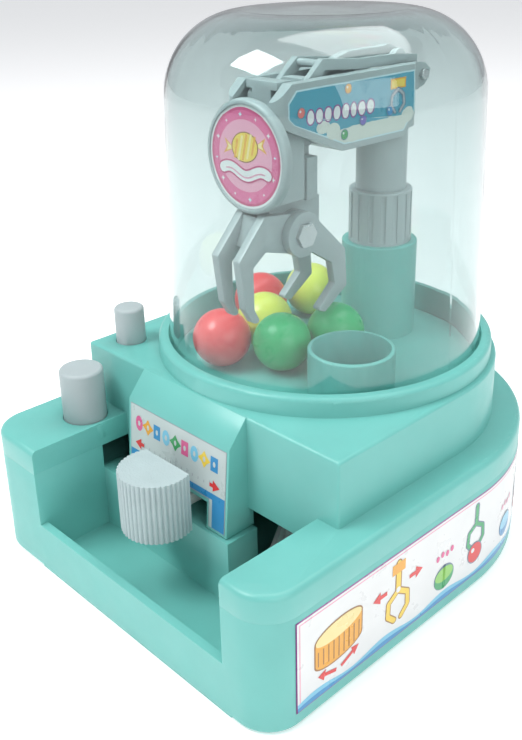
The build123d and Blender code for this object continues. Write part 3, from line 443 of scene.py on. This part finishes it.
# casing sides: four little scenes on a sheet that wraps round the back curve
for node, side in (("side_sticker_right", 1), ("side_sticker_left", -1)):
    lo, hi = box_mm(node)
    z0, z1, reach = lo[2], hi[2], max(abs(lo[0]), abs(hi[0]))
    centre_y, front = 13.5, lo[1]
    flat = centre_y - front
    total = flat + reach * math.asin((hi[1] - centre_y) / reach)

    def on_side(u, v, h, side=side, reach=reach, front=front, flat=flat, centre_y=centre_y, z0=z0):
        r = reach - 0.28 + h
        if u <= flat:
            return (side * r, front + u, z0 + v)
        a = (u - flat) / reach
        return (side * r * math.cos(a), centre_y + r * math.sin(a), z0 + v)

    tall = z1 - z0
    art = Print(on_side, 3.0, 0.03, 0.26)
    art.add("plum", 0, rect(0, 0, total, tall))
    art.add("white", 1, rect(0.5, 0.3, total - 0.5, tall - 0.5))
    art.add("rose", 2, rect(1.3, tall - 1.6, total - 1.3, tall - 1.2), rect(1.3, 1.2, 1.7, tall - 1.2))
    waves = [(0.5 + (total - 1) * i / 60, 2.7 + 0.9 * math.sin(i * 0.55)) for i in range(61)]
    for (ua, va), (ub, vb) in zip(waves, waves[1:]):
        art.add("sky", 2, [(ua, 0.3), (ub, 0.3), (ub, vb), (ua, va)])
        art.add("blue", 3, [(ua, 0.3), (ub, 0.3), (ub, vb * 0.55), (ua, va * 0.55)])
    # half-round ribbed knob between two red arrows
    u = 17.0
    art.add("brown", 3, [(u - 10, 11), (u + 10, 12.6), (u + 10, 20.2), (u - 10, 18.6)],
            blob(u, 19.4, 10.0, 3.4, 30, 0.08), blob(u, 11.8, 10.0, 3.4, 30, 0.08))
    art.add("amber", 4, [(u - 9.5, 11.2), (u + 9.5, 12.8), (u + 9.5, 19.6), (u - 9.5, 18.2)],
            blob(u, 11.9, 9.5, 3.0, 30, 0.08))
    art.add("straw", 5, blob(u, 19.4, 9.5, 2.9, 30, 0.08))
    for i in range(-4, 5):
        art.add("brown", 6, bar((u + i * 2.1, 9.4 + abs(i) * 0.35), (u + i * 2.1, 16.4 + i * 0.15), 0.4))
    art.add("red", 5, *arrow((u - 1.0, 5.2), (u - 8.5, 7.2), 1.2),
            *arrow((u + 1.0, 5.2), (u + 8.5, 8.4), 1.2))
    # yellow claw that swings
    u = 43.0
    for w, ink, layer in ((3.0, "brown", 3), (2.1, "yellow", 4)):
        art.add(ink, layer, *line([(u, 26.5), (u, 17.5)], w))
        for d in (-1, 1):
            prong = [(u, 17.0), (u + d * 4.4, 14.2), (u + d * 4.6, 9.6), (u + d * 1.6, 6.8)]
            art.add(ink, layer, *line(prong, w * 0.8))
    art.add("amber", 5, rect(u - 3, 23.2, u + 3, 26.8))
    art.add("white", 5, blob(u, 17.2, 1.0))
    for d in (-1, 1):
        art.add("red", 5, *arrow((u + d * 5.2, 18.8), (u + d * 11.6, 18.8), 1.4))
    # round button, and a claw over a ball: once green, once blue
    for u, dark, light in ((66.0, "green", "lime"), (104.0, "blue", "sky")):
        art.add("slate", 3, blob(u, 9.0, 5.2, 4.5, 28))
        art.add(dark, 4, blob(u, 8.6, 4.8, 3.9, 28))
        art.add(light, 5, blob(u, 10.0, 4.6, 2.6, 28))
        for i in (-1, 0, 1):
            art.add(dark, 6, bar((u + i * 2.2, 5.6 + abs(i) * 0.6), (u + i * 2.2, 7.6), 0.5))
        dots = [blob(u - 3.6 + 2.4 * k, 17.2 + 0.6 * (k % 2), 0.85, 1.1, 14) for k in range(4)]
        art.add("pink" if u < 80 else "rose", 5, *dots)
        v = u + 16.5
        for w, ink, layer in ((2.4, "slate", 3), (1.5, dark if u < 80 else "grey", 4)):
            art.add(ink, layer, *line([(v, 27.0), (v, 20.5)], w))
            for d in (-1, 1):
                prong = [(v, 20.4), (v + d * 3.8, 18.2), (v + d * 4.2, 14.0), (v + d * 1.9, 11.4)]
                art.add(ink, layer, *line(prong, w * 0.85))
        art.add("slate", 5, blob(v, 9.4, 4.0))
        art.add("red", 6, blob(v, 9.4, 3.6))
        art.add("white", 7, blob(v - 1.2, 10.6, 0.9, n=12))
    art.done(node + "_print", "base", node,
             lambda c, side=side: Vector((side, max(0.0, c.y - 0.0135) / 0.06, 0)))

# ---------- camera ----------
cam = bpy.data.objects.new("camera", bpy.data.cameras.new("camera"))
bpy.context.scene.collection.objects.link(cam)
bpy.context.scene.camera = cam
right = Vector((0.69725, 0.71656, -0.01971))
up = Vector((-0.25887, 0.27734, 0.92524))
back = right.cross(up).normalized()
up = back.cross(right).normalized()
stand = Matrix.Translation((0.20703, -0.21176, 0.20412))
cam.matrix_world = stand @ Matrix((right, up, back)).transposed().to_4x4()
cam.data.sensor_width = 36
cam.data.lens = 46.14
cam.data.shift_x = -0.0087
cam.data.shift_y = -0.0812
cam.data.clip_start = 0.01

# ---------- floor, backdrop light and lamps ----------
floor_mesh = bpy.data.meshes.new("floor")
floor_mesh.from_pydata([(-3, -3, 0), (3, -3, 0), (3, 3, 0), (-3, 3, 0)], [], [(0, 1, 2, 3)])
floor = bpy.data.objects.new("floor", floor_mesh)
bpy.context.scene.collection.objects.link(floor)
paper = plastic("paper_floor", (0.92, 0.92, 0.92), 0.75, 0.01, 80, 0.02)
glow = paper.node_tree.nodes["Principled BSDF"].inputs
glow["Emission Color"].default_value = (1, 1, 1, 1)
glow["Emission Strength"].default_value = 0.3
floor.data.materials.append(paper)

world = bpy.data.worlds.new("studio")
bpy.context.scene.world = world
bpy.context.scene.view_settings.view_transform = "Standard"
world.use_nodes = True
sky = world.node_tree.nodes["Background"].inputs
sky["Color"].default_value = (0.93, 0.96, 1.0, 1)
sky["Strength"].default_value = 0.5


def lamp(name, place, aim, size, watts, tint=(1, 1, 1)):
    data = bpy.data.lights.new(name, "AREA")
    data.energy, data.color, data.shape = watts, tint, "RECTANGLE"
    data.size, data.size_y = size
    o = bpy.data.objects.new(name, data)
    bpy.context.scene.collection.objects.link(o)
    o.location = place
    o.rotation_euler = (Vector(aim) - Vector(place)).to_track_quat("-Z", "Y").to_euler()


lamp("key", (-0.30, -0.55, 0.95), (0, 0, 0.08), (0.45, 0.4), 7.5)
lamp("fill", (0.9, -0.25, 0.5), (0, 0, 0.06), (0.7, 0.6), 3.2, (1, 0.99, 0.97))
lamp("top", (0.05, 0.25, 1.1), (0, 0, 0.1), (0.8, 0.8), 6)
